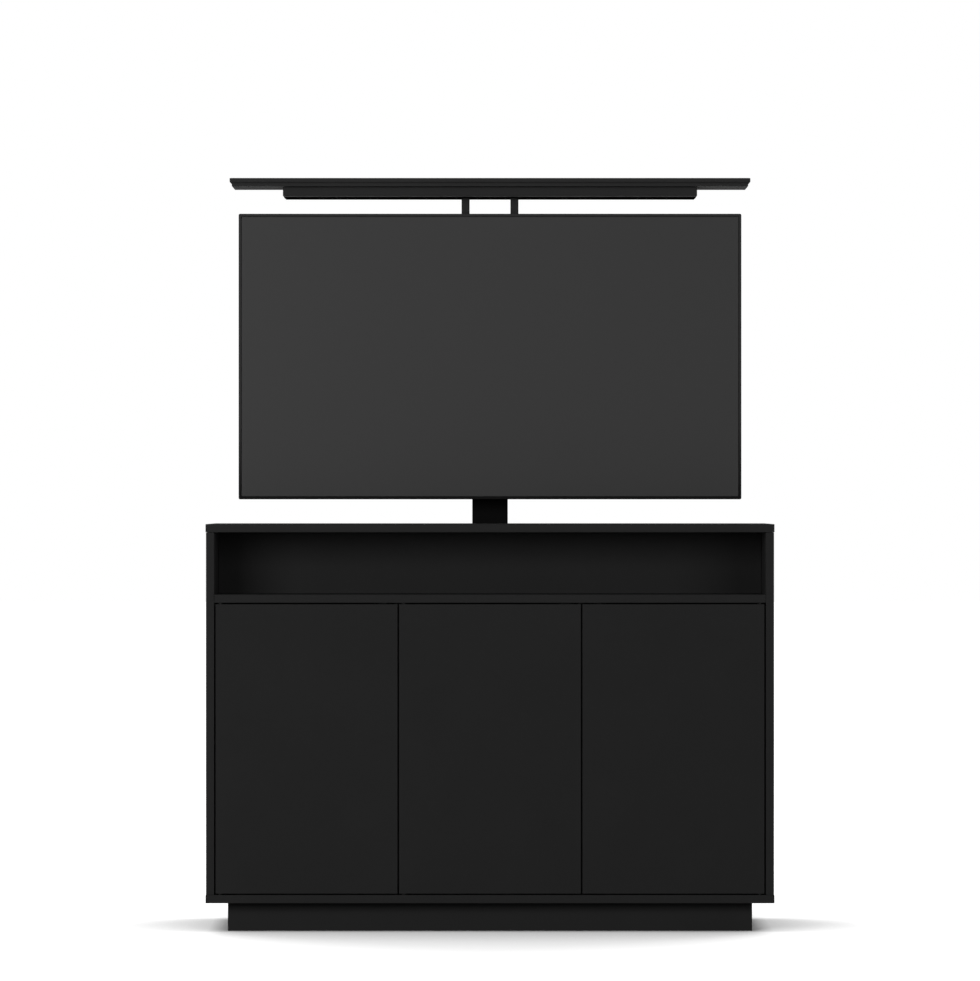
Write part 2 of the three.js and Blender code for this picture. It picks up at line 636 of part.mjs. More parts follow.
function addLid() {
  const bevelTop = LID_THICKNESS - LID_LIP;
  const lid = lidForm(0, 0, [
    [LID_REBATE, 0],
    [LID_REBATE, bevelTop - LID_BEVEL],
    [0, bevelTop],
    [0, LID_THICKNESS - EASE],
    [EASE, LID_THICKNESS],
  ]);
  addPiece("lid", laminate, lid, 0, lidY, lidBottom);

  const battenHeight = BATTEN_THICKNESS - FIT;
  const batten = slab(battenWidth, battenDepth, battenHeight);
  addPiece("lid_batten", laminate, batten, 0, battenY, battenBottom + battenHeight / 2);

  const postFrontY = hangerFrontY + POST_SETBACK;
  const carrierFrontY = postFrontY - CARRIER_MARGIN;
  const carrierBackY = battenY + battenDepth / 2 - CARRIER_INSET;
  const carrierWidth = battenWidth - 2 * CARRIER_INSET;
  const carrierDepth = carrierBackY - carrierFrontY;
  const carrierHeight = CARRIER_THICKNESS - FIT;
  const carrier = prism(roundedRectangle(carrierWidth, carrierDepth, POST_CORNER), carrierHeight);
  const carrierY = (carrierFrontY + carrierBackY) / 2;
  addPiece("lid_carrier_plate", blackSteel, carrier, 0, carrierY, carrierBottom);

  const postHeight = carrierBottom - headTop - 2 * FIT;
  const postY = postFrontY + POST_SIZE / 2;
  for (const [name, side] of [["left", -1], ["right", 1]]) {
    const post = tube(POST_SIZE, POST_SIZE, POST_WALL, POST_CORNER, postHeight);
    addPiece(`lid_post_${name}`, postPaint, post, side * POST_SPREAD / 2, postY, headTop + FIT);
  }
}

// The TV's pieces face forward with their front at y = 0
function addTv() {
  const middleZ = (tvBottom + tvTop) / 2;
  const windowWidth = TV_WIDTH - 2 * BEZEL_WIDTH;
  const windowHeight = TV_HEIGHT - 2 * BEZEL_WIDTH;

  const frame = slab(TV_WIDTH, TV_HEIGHT, BEZEL_DEPTH, TV_CORNER).translate(0, 0, -BEZEL_DEPTH / 2);
  const opening = prism(roundedRectangle(windowWidth, windowHeight, EASE), 3 * BEZEL_DEPTH);
  opening.translate(0, 0, -2 * BEZEL_DEPTH);
  addPiece("tv_bezel", bezelPlastic, facingFront(cut(frame, opening)), 0, tvFrontY, middleZ);

  const screen = slab(windowWidth - 2 * FIT, windowHeight - 2 * FIT, SCREEN_THICKNESS);
  const screenY = tvFrontY + SCREEN_RECESS + SCREEN_THICKNESS / 2;
  addPiece("tv_screen", screenFace, facingFront(screen), 0, screenY, middleZ);

  addPiece("tv_rear_cover", blackPlastic, facingFront(tvCover()), 0, coverFrontY, middleZ);
}

// Middle of the flat part of the TV's back, from the middle of the TV
const bulgeShift = (BULGE_BOTTOM_MARGIN - BULGE_TOP_MARGIN) / 2;
const bulgeWidth = TV_WIDTH - 2 * BULGE_SIDE_MARGIN;
const bulgeHeight = TV_HEIGHT - BULGE_TOP_MARGIN - BULGE_BOTTOM_MARGIN;

// A thin rim with a deeper middle that slopes up from it, and vents near the top of the flat back
function tvCover() {
  const rim = slab(TV_WIDTH, TV_HEIGHT, COVER_RIM, TV_CORNER).translate(0, 0, -COVER_RIM / 2);
  const bulge = lofted([
    [bulgeWidth - 2 * BULGE_SLOPE, bulgeHeight - 2 * BULGE_SLOPE, BULGE_CORNER, -COVER_DEPTH],
    [bulgeWidth, bulgeHeight, BULGE_CORNER + BULGE_SLOPE, -COVER_RIM],
    [bulgeWidth, bulgeHeight, BULGE_CORNER + BULGE_SLOPE, -COVER_RIM / 2],
  ], 5).translate(0, bulgeShift, 0);
  const flatTop = bulgeShift + bulgeHeight / 2 - BULGE_SLOPE;
  const vents = [];
  for (const side of [-1, 1]) {
    for (let index = 0; index < VENT_COUNT; index++) {
      const vent = prism(roundEnded(VENT_WIDTH, VENT_LENGTH, 2), 2 * VENT_DEPTH);
      const x = side * (VENT_START + index * VENT_PITCH);
      vents.push(vent.translate(x, flatTop - VENT_DROP - VENT_LENGTH / 2, -COVER_DEPTH - VENT_DEPTH));
    }
  }
  return cut(join(rim, bulge), ...vents);
}

// Heights of the slots in a rail, from the lowest up
function railSlotHeights() {
  const railZ = (tvBottom + tvTop) / 2 + bulgeShift;
  return Array.from({ length: RAIL_SLOTS }, (_, index) =>
    railZ + (index - (RAIL_SLOTS - 1) / 2) * RAIL_SLOT_PITCH);
}

// Two channels down the TV's back, open towards it, with slots for the bolts
function addRails() {
  const half = RAIL_WIDTH / 2;
  const profile = new THREE.Shape([
    [-half, 0],
    [RAIL_WALL - half, 0],
    [RAIL_WALL - half, RAIL_DEPTH - RAIL_WALL],
    [half - RAIL_WALL, RAIL_DEPTH - RAIL_WALL],
    [half - RAIL_WALL, 0],
    [half, 0],
    [half, RAIL_DEPTH],
    [-half, RAIL_DEPTH],
  ].map(([x, y]) => new THREE.Vector2(x, y)));
  const heights = railSlotHeights();
  const railZ = (heights[0] + heights[RAIL_SLOTS - 1]) / 2;
  const channel = prism(profile, RAIL_LENGTH).translate(0, 0, railZ - RAIL_LENGTH / 2);
  const slots = heights.map((z) => {
    const slot = facingFront(prism(roundEnded(RAIL_SLOT_WIDTH, RAIL_SLOT_LENGTH), 3 * RAIL_WALL));
    return slot.translate(0, RAIL_DEPTH + RAIL_WALL, z);
  });
  const rail = cut(channel, ...slots);
  for (const [name, side] of [["left", -1], ["right", 1]]) {
    addPiece(`tv_rail_${name}`, blackSteel, rail.clone(), side * RAIL_SPACING / 2, railFrontY, 0);
  }
}

// Lift head: a plate on the inner tube, a hanger plate down its front and two gussets between them
function addLiftHead() {
  const plateBackY = columnY + innerDepth / 2 + COLLAR_OVERHANG;
  const plateDepth = plateBackY - hangerFrontY;
  const plate = prism(roundedRectangle(HEAD_WIDTH, plateDepth, HEAD_CORNER), HEAD_PLATE);
  plate.translate(0, hangerFrontY + plateDepth / 2, headBottom);

  const boltHeights = railSlotHeights().slice(-HANGER_BOLTS);
  const hangerBottom = boltHeights[0] - HANGER_EDGE;
  const hangerShape = roundedRectangle(HANGER_WIDTH, headTop - hangerBottom, HANGER_CORNER, 6);
  const hanger = facingFront(prism(hangerShape, HANGER_THICKNESS));
  hanger.translate(0, hangerBackY, (hangerBottom + headTop) / 2);

  const seat = HANGER_THICKNESS / 2;
  const side = new THREE.Shape([
    [hangerBackY - seat, headBottom + seat],
    [hangerBackY - seat, headBottom - GUSSET_DROP],
    [hangerBackY, headBottom - GUSSET_DROP],
    [plateBackY, headBottom - GUSSET_NOSE],
    [plateBackY, headBottom + seat],
  ].map(([y, z]) => new THREE.Vector2(y, z)));
  const gussetX = outerWidth / 2 + COLLAR_OVERHANG + GUSSET_GAP;
  const gussets = [-gussetX - GUSSET, gussetX].map((x) => acrossX(prism(side, GUSSET)).translate(x, 0, 0));

  const cutters = [];
  for (const x of [-RAIL_SPACING / 2, RAIL_SPACING / 2]) {
    for (const z of boltHeights) {
      const bolt = facingFront(cylinder(RAIL_SLOT_WIDTH / 2, 3 * HANGER_THICKNESS, 16));
      cutters.push(bolt.translate(x, hangerFrontY, z));
    }
  }
  const windowShape = roundedRectangle(WINDOW_WIDTH, WINDOW_HEIGHT, HANGER_CORNER);
  const windowZ = hangerBottom + WINDOW_RISE + WINDOW_HEIGHT / 2;
  const window = facingFront(prism(windowShape, 3 * HANGER_THICKNESS));
  cutters.push(window.translate(0, hangerBackY + HANGER_THICKNESS, windowZ));
  addPiece("lift_head", blackSteel, cut(join(plate, hanger, ...gussets), ...cutters), 0, 0, 0);
}

// A glide collar: a flange on the end of a tube, and a sleeve down into it round the next tube.
// The flange stands on z = 0
function collar(width, depth, corner) {
  const flange = prism(
    roundedRectangle(width + 2 * COLLAR_OVERHANG, depth + 2 * COLLAR_OVERHANG, corner + COLLAR_OVERHANG),
    COLLAR_FLANGE,
  );
  const inset = TUBE_WALL + FIT;
  const sleeve = prism(
    roundedRectangle(width - 2 * inset, depth - 2 * inset, corner - inset),
    COLLAR_SLEEVE + COLLAR_FLANGE / 2,
  ).translate(0, 0, -COLLAR_SLEEVE);
  const wall = TUBE_WALL + TUBE_STEP - COLLAR_PLAY;
  const bore = prism(
    roundedRectangle(width - 2 * wall, depth - 2 * wall, Math.max(corner - wall, EASE)),
    4 * COLLAR_SLEEVE,
  ).translate(0, 0, -2 * COLLAR_SLEEVE);
  return cut(join(flange, sleeve), bore);
}

function addColumn() {
  const outer = tube(outerWidth, outerDepth, TUBE_WALL, TUBE_CORNER, outerTop - outerBottom);
  const outerCollar = collar(outerWidth, outerDepth, TUBE_CORNER);
  addPiece("outer_tube", blackSteel, outer, 0, columnY, outerBottom);
  addPiece("outer_collar", blackPlastic, outerCollar, 0, columnY, outerTop + FIT);

  const middle = tube(MIDDLE_WIDTH, MIDDLE_DEPTH, TUBE_WALL, TUBE_CORNER, middleTop - middleBottom);
  const middleCollar = collar(MIDDLE_WIDTH, MIDDLE_DEPTH, TUBE_CORNER);
  addPiece("middle_tube", blackSteel, middle, 0, columnY, middleBottom);
  addPiece("middle_collar", blackPlastic, middleCollar, 0, columnY, middleTop + FIT);

  const inner = tube(innerWidth, innerDepth, TUBE_WALL, TUBE_CORNER, innerTop - innerBottom);
  addPiece("inner_tube", blackSteel, inner, 0, columnY, innerBottom);
}

// Drive at the column's foot: base plate, gearbox beside the outer tube and motor on the gearbox
function addDrive() {
  const plateLeft = -outerWidth / 2 - BASE_MARGIN;
  const gearboxLeft = outerWidth / 2 + FIT;
  const plateRight = gearboxLeft + GEARBOX_WIDTH + BASE_MARGIN;
  const plateWidth = plateRight - plateLeft;
  const plateDepth = outerDepth + 2 * BASE_MARGIN;
  const plateX = (plateLeft + plateRight) / 2;
  const plate = prism(roundedRectangle(plateWidth, plateDepth, BASE_CORNER), BASE_PLATE);
  const holes = [];
  for (const sideX of [-1, 1]) {
    for (const sideY of [-1, 1]) {
      const x = sideX * (plateWidth / 2 - BASE_MARGIN / 2);
      const y = sideY * (plateDepth / 2 - BASE_MARGIN / 2);
      holes.push(cylinder(BASE_HOLE_RADIUS, 4 * BASE_PLATE, 20).translate(x, y, 0));
    }
  }
  addPiece("lift_base_plate", blackSteel, cut(plate, ...holes), plateX, columnY, doorOpeningZ + FIT);

  const topWidth = GEARBOX_WIDTH - 2 * GEARBOX_RIB;
  const topDepth = outerDepth - 2 * GEARBOX_RIB;
  const housing = lofted([
    [GEARBOX_WIDTH, outerDepth, GEARBOX_CORNER, 0],
    [GEARBOX_WIDTH, outerDepth, GEARBOX_CORNER, GEARBOX_HEIGHT - GEARBOX_RIB],
    [topWidth, topDepth, GEARBOX_CORNER - GEARBOX_RIB, GEARBOX_HEIGHT],
  ], 4);
  const ribPitch = (GEARBOX_WIDTH - 2 * GEARBOX_CORNER) / (GEARBOX_RIBS - 1);
  const ribHeight = GEARBOX_HEIGHT - 4 * GEARBOX_RIB;
  const ribs = [];
  for (let index = 0; index < GEARBOX_RIBS; index++) {
    const x = (index - (GEARBOX_RIBS - 1) / 2) * ribPitch;
    const rib = new THREE.BoxGeometry(GEARBOX_RIB, outerDepth + 2 * GEARBOX_RIB, ribHeight);
    ribs.push(rib.translate(x, 0, GEARBOX_HEIGHT / 2));
  }
  const gearboxX = gearboxLeft + GEARBOX_WIDTH / 2;
  addPiece("gearbox", blackPlastic, join(housing, ...ribs), gearboxX, columnY, baseTop + FIT);

  const motor = turned([
    [0, 0],
    [MOTOR_RADIUS, 0],
    [MOTOR_RADIUS, MOTOR_CAP],
    [MOTOR_RADIUS - MOTOR_STEP, MOTOR_CAP],
    [MOTOR_RADIUS - MOTOR_STEP, MOTOR_LENGTH - MOTOR_CAP],
    [MOTOR_RADIUS, MOTOR_LENGTH - MOTOR_CAP],
    [MOTOR_RADIUS, MOTOR_LENGTH - MOTOR_STEP],
    [MOTOR_RADIUS - MOTOR_STEP, MOTOR_LENGTH],
    [0, MOTOR_LENGTH],
  ], 40);
  addPiece("lift_motor", blackSteel, motor, gearboxX, columnY, baseTop + 2 * FIT + GEARBOX_HEIGHT);
}

// Control box on the back panel, with a row of sockets in its underside
function addControlBox() {
  const box = facingFront(slab(CONTROL_WIDTH, CONTROL_HEIGHT, CONTROL_DEPTH, CONTROL_CORNER));
  const sockets = [];
  for (let index = 0; index < SOCKET_COUNT; index++) {
    const x = (index - (SOCKET_COUNT - 1) / 2) * SOCKET_PITCH;
    const socket = new THREE.BoxGeometry(SOCKET_WIDTH, SOCKET_WIDTH, 2 * SOCKET_DEPTH);
    sockets.push(socket.translate(x, 0, -CONTROL_HEIGHT / 2));
  }
  const y = backPanelFrontY - FIT - CONTROL_DEPTH / 2;
  const z = doorOpeningZ + CONTROL_RISE + CONTROL_HEIGHT / 2;
  addPiece("control_box", blackPlastic, cut(box, ...sockets), CONTROL_X, y, z);
}

addPlinth();
addCarcase();
addDoors();
addPivots();
addLatches();
addDrive();
addColumn();
addLiftHead();
addTv();
addRails();
addLid();
addControlBox();

export default cabinet;
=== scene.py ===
"""A TV lift cabinet with its lift raised, in matte black. Metres, +Z up, the doors face -Y."""
import json
import math

import bmesh
import bpy
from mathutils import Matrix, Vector


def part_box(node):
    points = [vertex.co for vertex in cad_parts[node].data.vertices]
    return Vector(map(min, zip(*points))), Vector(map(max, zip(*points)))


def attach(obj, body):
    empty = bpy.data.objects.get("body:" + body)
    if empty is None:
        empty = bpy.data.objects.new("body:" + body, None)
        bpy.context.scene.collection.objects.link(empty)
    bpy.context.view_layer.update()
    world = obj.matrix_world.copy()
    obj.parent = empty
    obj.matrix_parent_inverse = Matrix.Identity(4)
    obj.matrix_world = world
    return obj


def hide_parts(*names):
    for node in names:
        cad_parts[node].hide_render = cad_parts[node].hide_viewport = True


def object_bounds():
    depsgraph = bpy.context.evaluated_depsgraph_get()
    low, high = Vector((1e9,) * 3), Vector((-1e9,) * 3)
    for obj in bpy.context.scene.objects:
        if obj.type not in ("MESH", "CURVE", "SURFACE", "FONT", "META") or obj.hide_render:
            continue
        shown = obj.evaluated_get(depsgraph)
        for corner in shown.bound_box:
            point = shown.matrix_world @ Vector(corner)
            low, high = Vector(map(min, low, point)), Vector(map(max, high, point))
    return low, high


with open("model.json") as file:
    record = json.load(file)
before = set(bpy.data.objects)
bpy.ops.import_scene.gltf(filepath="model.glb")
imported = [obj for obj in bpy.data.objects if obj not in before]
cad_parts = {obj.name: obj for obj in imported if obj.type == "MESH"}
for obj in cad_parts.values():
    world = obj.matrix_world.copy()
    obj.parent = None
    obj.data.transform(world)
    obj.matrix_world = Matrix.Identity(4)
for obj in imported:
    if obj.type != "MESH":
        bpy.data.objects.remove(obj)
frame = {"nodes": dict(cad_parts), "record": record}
cad_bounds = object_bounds()
front_y = cad_bounds[0].y

scene = bpy.context.scene
scene.view_settings.view_transform = "Standard"

MM = 0.001
DOORS = ("left", "middle", "right")

# Camera: a long lens well in front of the cabinet, a little above its top board
IMAGE_WIDTH = 980
FOCAL_PIXELS = 5645
SENSOR_WIDTH = 36
CAMERA_DISTANCE = 12.4
CAMERA_HEIGHT = 0.950
CAMERA_REACH = 100
HORIZON_DROP = 9.5  # pixels from the middle of the picture down to the horizon

# Light and floor
AIM_HEIGHT = 0.8  # where the soft boxes point, on the cabinet's front
SURROUND = 0.06
FLOOR_REACH = 40
FLOOR_ALBEDO = 0.45
FLOOR_GLOW = 1.12
# painted shade on the floor: how far the ambient occlusion reaches, and how hard it dims the glow
FLOOR_PAINTED_SHADE_REACH = 5.0
FLOOR_PAINTED_SHADE_DEPTH = 2.0

# Grain of the finishes
PATCH_SHARE = 0.4
PEARL_SHARE = 0.6
SPECKLE_SHARE = 0.3
DRAWN_LINES = (1, 8, 8)  # the lines of drawn steel run along X, and are fine across it

# Edges as they are after sanding, moulding or pressing
BOARD_ARRIS = 0.35 * MM
METAL_ARRIS = 0.3 * MM
PLASTIC_ARRIS = 0.4 * MM
ARRIS_STEPS = 2
ROUNDED_FROM = math.radians(28)  # an edge that turns by more than this is rounded
SHARP_FROM = math.radians(32)  # an edge of a small part that turns by more than this stays sharp
FLAT_WITHIN = math.radians(0.5)  # faces that turn by less than this become one
MERGED_WITHIN = 0.005 * MM
TOUCHING = 0.1 * MM  # how near to a face still counts as on it

# The screen's frame: its lower edge is rolled under, and painted shade darkens its colour towards that edge
BEZEL_ROLL = 4 * MM
BEZEL_ROLL_STEPS = 5
BEZEL_PAINTED_SHADE_BELOW = 12 * MM  # from the lower edge down to where it would be darkest
BEZEL_PAINTED_SHADE_FADE = 186 * MM
BEZEL_PAINTED_SHADE_DARKEST = 0.12

# Bay with sockets in the TV's back, to the left of the lift as seen from behind
BAY_X = 300 * MM
BAY_Z = 1075 * MM
BAY_WIDTH = 150 * MM
BAY_HEIGHT = 34 * MM
BAY_DEPTH = 9 * MM
BAY_CORNER = 4 * MM
BAY_CORNER_STEPS = 4
SOCKETS = 5
WIDE_SOCKET = (14 * MM, 6 * MM)
SQUARE_SOCKET = (9 * MM, 9 * MM)
SOCKET_WALL = 1.2 * MM
SOCKET_HEIGHT = 3 * MM
SOCKET_FLOOR = 0.4 * MM

# Where screws, bolts and pins sit
HINGE_PLATE_END = 5 * MM  # middle of the pin in from the round end of its plate
HINGE_PIN_NEAR = 6 * MM  # a pin closer than this to an end of its plate is at that end
HINGE_SCREW_PITCH = 11.4 * MM
HINGE_SCREW_SUNK = 1.2 * MM
LATCH_SCREW_OUT = 14 * MM  # from the middle of the latch
LATCH_EAR = 3 * MM  # thickness of the ears that a latch hangs by
BASE_BOLT_INSET = 13 * MM
GEARBOX_SCREW_INSET = 11 * MM
MOTOR_SCREWS = 3
MOTOR_SCREW_CIRCLE = 17 * MM
MOTOR_SCREW_START = 30  # degrees
CONTROL_SCREW_INSET = 9 * MM
HANGER_PLATE = 5 * MM  # thickness of the plate that carries the rails
HANGER_BOLTS = 2  # in each rail
RAIL_SLOT_PITCH = 70 * MM
TOP_RAIL_SLOT = 2  # pitches above the middle of a rail
TV_BOLT_SPAN = 200 * MM
COVER_RIM = 14 * MM  # from the front of the TV's cover to the back of its rim
COVER_SCREW_INSET = 11 * MM
COVER_SCREWS_ACROSS = 5
COVER_SCREWS_UP = 3
CARRIER_SCREW_INSET = 22 * MM
CARRIER_SCREWS = 6
CARRIER_SCREW_SUNK = 0.6 * MM
SHELF_PIN_INSET = 42 * MM  # from the front and back edges of a shelf
SHELF_PIN_RADIUS = 2.5 * MM
SHELF_HOLE_PITCH = 32 * MM
SHELF_HOLES = 4  # above and below each pin


def cross_screw(radius, height, recess_width, recess_depth=1.2):
    """The sizes of a screw, given in mm, by the names that its tree has for them."""
    return {
        "Head Radius": radius * MM,
        "Head Height": height * MM,
        "Recess Width": recess_width * MM,
        "Recess Depth": recess_depth * MM,
    }


# Sizes of screws, bolts, pins and sleeves
USUAL_SCREW = cross_screw(radius=3.5, height=2, recess_width=3.6)
HINGE_SCREW = cross_screw(radius=1.75, height=0.9, recess_width=2, recess_depth=0.5)
LATCH_SCREW = cross_screw(radius=3, height=1.8, recess_width=3, recess_depth=1)
GEARBOX_SCREW = cross_screw(radius=3.2, height=2.2, recess_width=3.1)
MOTOR_SCREW = cross_screw(radius=2.6, height=1.8, recess_width=2.8)
CONTROL_SCREW = cross_screw(radius=2.6, height=1.6, recess_width=2.8)
COVER_SCREW = cross_screw(radius=2.6, height=1.4, recess_width=2.6, recess_depth=0.9)
CARRIER_SCREW = cross_screw(radius=3.2, height=0.8, recess_width=3, recess_depth=0.5)
RECESS_BAR = 0.22  # width of each bar of the cross, for a length of 1
HEAD_RIM = 0.5  # height of a head's rim, for a head height of 1
DOME_STEPS = ((0.3, 0.86), (0.2, 0.66))  # height of each step, for a head height of 1, and scale of its top
BOLT = {
    "Head Radius": 5.5 * MM,
    "Head Height": 3.4 * MM,
    "Socket Radius": 2.3 * MM,
    "Socket Depth": 2 * MM,
    "Washer Radius": 7.5 * MM,
    "Washer Thickness": 1.2 * MM,
}
PIN = {
    "Pin Radius": SHELF_PIN_RADIUS,
    "Pin Length": 9 * MM,
    "Collar Radius": 4 * MM,
    "Collar Height": 1 * MM,
}
PIN_TAPER = 0.6 * MM
PIN_TIP = 0.78  # scale of the pin's end
SLEEVE = {
    "Rim Radius": 3.6 * MM,
    "Rim Height": 0.4 * MM,
    "Bore Radius": 2.5 * MM,
}
SLEEVE_FLOOR = 0.08 * MM
SLEEVE_CUTTER = 2 * MM


def add_object(name, data):
    item = bpy.data.objects.new(name, data)
    scene.collection.objects.link(item)
    return item


def end_form(form, name):
    """The mesh of a form that is done."""
    mesh = bpy.data.meshes.new(name)
    form.to_mesh(mesh)
    form.free()
    return mesh


def add_node(tree, kind, values=None, **settings):
    """A node with its settings and inputs. An input that is another node's output is linked."""
    node = tree.nodes.new(kind)
    for name, value in settings.items():
        setattr(node, name, value)
    for key, value in (values or {}).items():
        if isinstance(value, bpy.types.NodeSocket):
            tree.links.new(value, node.inputs[key])
        else:
            node.inputs[key].default_value = value
    return node


def calculate(tree, operation, first, second):
    return add_node(tree, "ShaderNodeMath", {0: first, 1: second}, operation=operation).outputs[0]


def grey(tone):
    return (tone, tone, tone, 1)


# Finishes


def new_finish(name, **sockets):
    """A material with its plain values on the shader's own sockets."""
    material = bpy.data.materials.new(name)
    material.use_nodes = True
    tree = material.node_tree
    shader = tree.nodes["Principled BSDF"]
    for label, value in sockets.items():
        shader.inputs[label.replace("_", " ")].default_value = value
    return material, tree, shader, add_node(tree, "ShaderNodeTexCoord").outputs["Object"]


def noise(tree, place, scale, detail, distortion=0.0):
    values = {"Vector": place, "Scale": scale, "Detail": detail, "Distortion": distortion}
    return add_node(tree, "ShaderNodeTexNoise", values).outputs["Fac"]


def spread(tree, factor, low, high, start=0.3, end=0.7):
    """Spreads a factor from start to end over low to high. A noise stays mostly within 0.3 and 0.7."""
    values = {"Value": factor, "From Min": start, "From Max": end, "To Min": low, "To Max": high}
    return add_node(tree, "ShaderNodeMapRange", values).outputs["Result"]


def colour(tree, shader, tone, share):
    """The tone times a share that changes over the surface."""
    scaled = add_node(tree, "ShaderNodeVectorMath", {0: grey(tone)[:3], "Scale": share}, operation="SCALE")
    tree.links.new(scaled.outputs["Vector"], shader.inputs["Base Color"])


def tint(tree, shader, tone, factor, drift):
    """Lets the colour drift a little about its tone."""
    colour(tree, shader, tone, spread(tree, factor, 1 - drift, 1 + drift))


def sheen(tree, shader, factor, roughness, smoother, duller):
    """Lets the roughness drift, from a little smoother to a little duller."""
    drifting = spread(tree, factor, roughness - smoother, roughness + duller)
    tree.links.new(drifting, shader.inputs["Roughness"])


def relief(tree, shader, height, depth, strength=0.4):
    bump = add_node(tree, "ShaderNodeBump", {"Height": height, "Distance": depth, "Strength": strength})
    tree.links.new(bump.outputs["Normal"], shader.inputs["Normal"])


def matte_laminate(name, tone, gloss, roughness):
    """Suede-faced board: a fine pearl in the surface, with rubbed patches that are a little smoother."""
    material, tree, shader, place = new_finish(name, Specular_IOR_Level=gloss)
    patches = noise(tree, place, scale=7, detail=5, distortion=0.4)
    pearl = noise(tree, place, scale=1100, detail=2)
    patch_part = calculate(tree, "MULTIPLY", patches, PATCH_SHARE)
    pearl_part = calculate(tree, "MULTIPLY", pearl, PEARL_SHARE)
    mixed = calculate(tree, "ADD", patch_part, pearl_part)
    tint(tree, shader, tone, mixed, drift=0.12)
    sheen(tree, shader, mixed, roughness, smoother=0.08, duller=0.08)
    relief(tree, shader, pearl, depth=0.08 * MM, strength=0.6)
    return material


def powder_coat(name, tone, gloss, roughness):
    """Baked powder on steel: an orange-peel relief with a finer speckle on it."""
    material, tree, shader, place = new_finish(name, Specular_IOR_Level=gloss)
    peel = noise(tree, place, scale=420, detail=2)
    speckle = noise(tree, place, scale=2600, detail=2)
    tint(tree, shader, tone, speckle, drift=0.12)
    sheen(tree, shader, speckle, roughness, smoother=0.07, duller=0.07)
    height = calculate(tree, "ADD", peel, calculate(tree, "MULTIPLY", speckle, SPECKLE_SHARE))
    relief(tree, shader, height, depth=0.06 * MM)
    return material


def zinc_plate(name, tone, roughness):
    """Steel with a dark zinc plating, its fine drawn lines and duller clouds."""
    material, tree, shader, place = new_finish(name, Metallic=1.0)
    drawn = add_node(tree, "ShaderNodeMapping", {"Vector": place, "Scale": DRAWN_LINES})
    lines = noise(tree, drawn.outputs["Vector"], scale=500, detail=4)
    clouds = noise(tree, place, scale=160, detail=3)
    tint(tree, shader, tone, clouds, drift=0.12)
    sheen(tree, shader, clouds, roughness, smoother=0.06, duller=0.12)
    relief(tree, shader, lines, depth=0.01 * MM)
    return material


def moulded_plastic(name, tone, gloss, roughness):
    """Moulded plastic with a spark-eroded grain."""
    material, tree, shader, place = new_finish(name, Specular_IOR_Level=gloss)
    erosion = noise(tree, place, scale=1800, detail=3)
    flow = noise(tree, place, scale=14, detail=3, distortion=0.8)
    tint(tree, shader, tone, flow, drift=0.04)
    sheen(tree, shader, flow, roughness, smoother=0.04, duller=0.04)
    relief(tree, shader, erosion, depth=0.03 * MM)
    return material


def bezel_plastic_with_painted_shade(name, tone, gloss, roughness):
    """The screen's frame: fine satin plastic, with painted shade that darkens its colour towards its lower
    edge.
    """
    material, tree, shader, place = new_finish(name, Specular_IOR_Level=gloss)
    satin = noise(tree, place, scale=2400, detail=3)
    height = add_node(tree, "ShaderNodeSeparateXYZ", {"Vector": place}).outputs["Z"]
    # painted shade: the frame's colour darkens from just below its lower edge up over the fade
    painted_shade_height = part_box("tv_bezel")[0].z - BEZEL_PAINTED_SHADE_BELOW
    share = spread(tree, height, BEZEL_PAINTED_SHADE_DARKEST, 1.0, start=painted_shade_height, end=painted_shade_height + BEZEL_PAINTED_SHADE_FADE)
    colour(tree, shader, tone, share)
    sheen(tree, shader, satin, roughness, smoother=0.04, duller=0.04)
    relief(tree, shader, satin, depth=0.008 * MM)
    return material


def screen_glass(name, tone, gloss, roughness):
    """A dark screen with an etched face that spreads what it reflects."""
    material, tree, shader, place = new_finish(name, Specular_IOR_Level=gloss)
    etch = noise(tree, place, scale=4200, detail=2)
    haze = noise(tree, place, scale=2.2, detail=2)
    tint(tree, shader, tone, haze, drift=0.015)
    sheen(tree, shader, etch, roughness, smoother=0.04, duller=0.04)
    relief(tree, shader, etch, depth=0.004 * MM)
    return material


finishes = {
    "black_laminate": matte_laminate("black_laminate", tone=0.0115, gloss=0.025, roughness=0.85),
    # the doors' tone is a little darker than the boards' laminate: painted shade on the doors
    "door_laminate": matte_laminate("door_laminate", tone=0.0109, gloss=0.025, roughness=0.85),
    "plinth_laminate": matte_laminate("plinth_laminate", tone=0.0115, gloss=0.025, roughness=0.85),
    # the lid's tone is lighter than the boards' laminate: painted light on the lid
    "lid_laminate": matte_laminate("lid_laminate", tone=0.0138, gloss=0.045, roughness=0.78),
    "black_steel": powder_coat("black_steel", tone=0.0032, gloss=0.0, roughness=0.9),
    "post_steel": powder_coat("post_steel", tone=0.0165, gloss=0.04, roughness=0.75),
    "motor_steel": powder_coat("motor_steel", tone=0.006, gloss=0.2, roughness=0.45),
    "hinge_steel": zinc_plate("hinge_steel", tone=0.01, roughness=0.45),
    "bush_plastic": moulded_plastic("bush_plastic", tone=0.008, gloss=0.1, roughness=0.55),
    "latch_plastic": moulded_plastic("latch_plastic", tone=0.009, gloss=0.1, roughness=0.55),
    "black_plastic": moulded_plastic("black_plastic", tone=0.006, gloss=0.15, roughness=0.5),
    "tv_cover_plastic": moulded_plastic("tv_cover_plastic", tone=0.007, gloss=0.15, roughness=0.5),
    "tv_bezel_plastic": bezel_plastic_with_painted_shade("tv_bezel_plastic", tone=0.0165, gloss=0.02, roughness=0.55),
    "screen_face": screen_glass("screen_face", tone=0.0176, gloss=0.1, roughness=0.5),
}


# Pieces of the cabinet, with their edges rounded

bodies = frame["record"]["behaviour"]["bodies"]
node_body = {node: body for body, nodes in bodies.items() for node in nodes}
node_slot = {part["node"]: part["material_slot"] for part in frame["record"]["subparts"]}
# By the last word of a finish
ARRISES = {
    "laminate": BOARD_ARRIS,
    "steel": METAL_ARRIS,
    "plastic": PLASTIC_ARRIS,
    "face": PLASTIC_ARRIS,
}


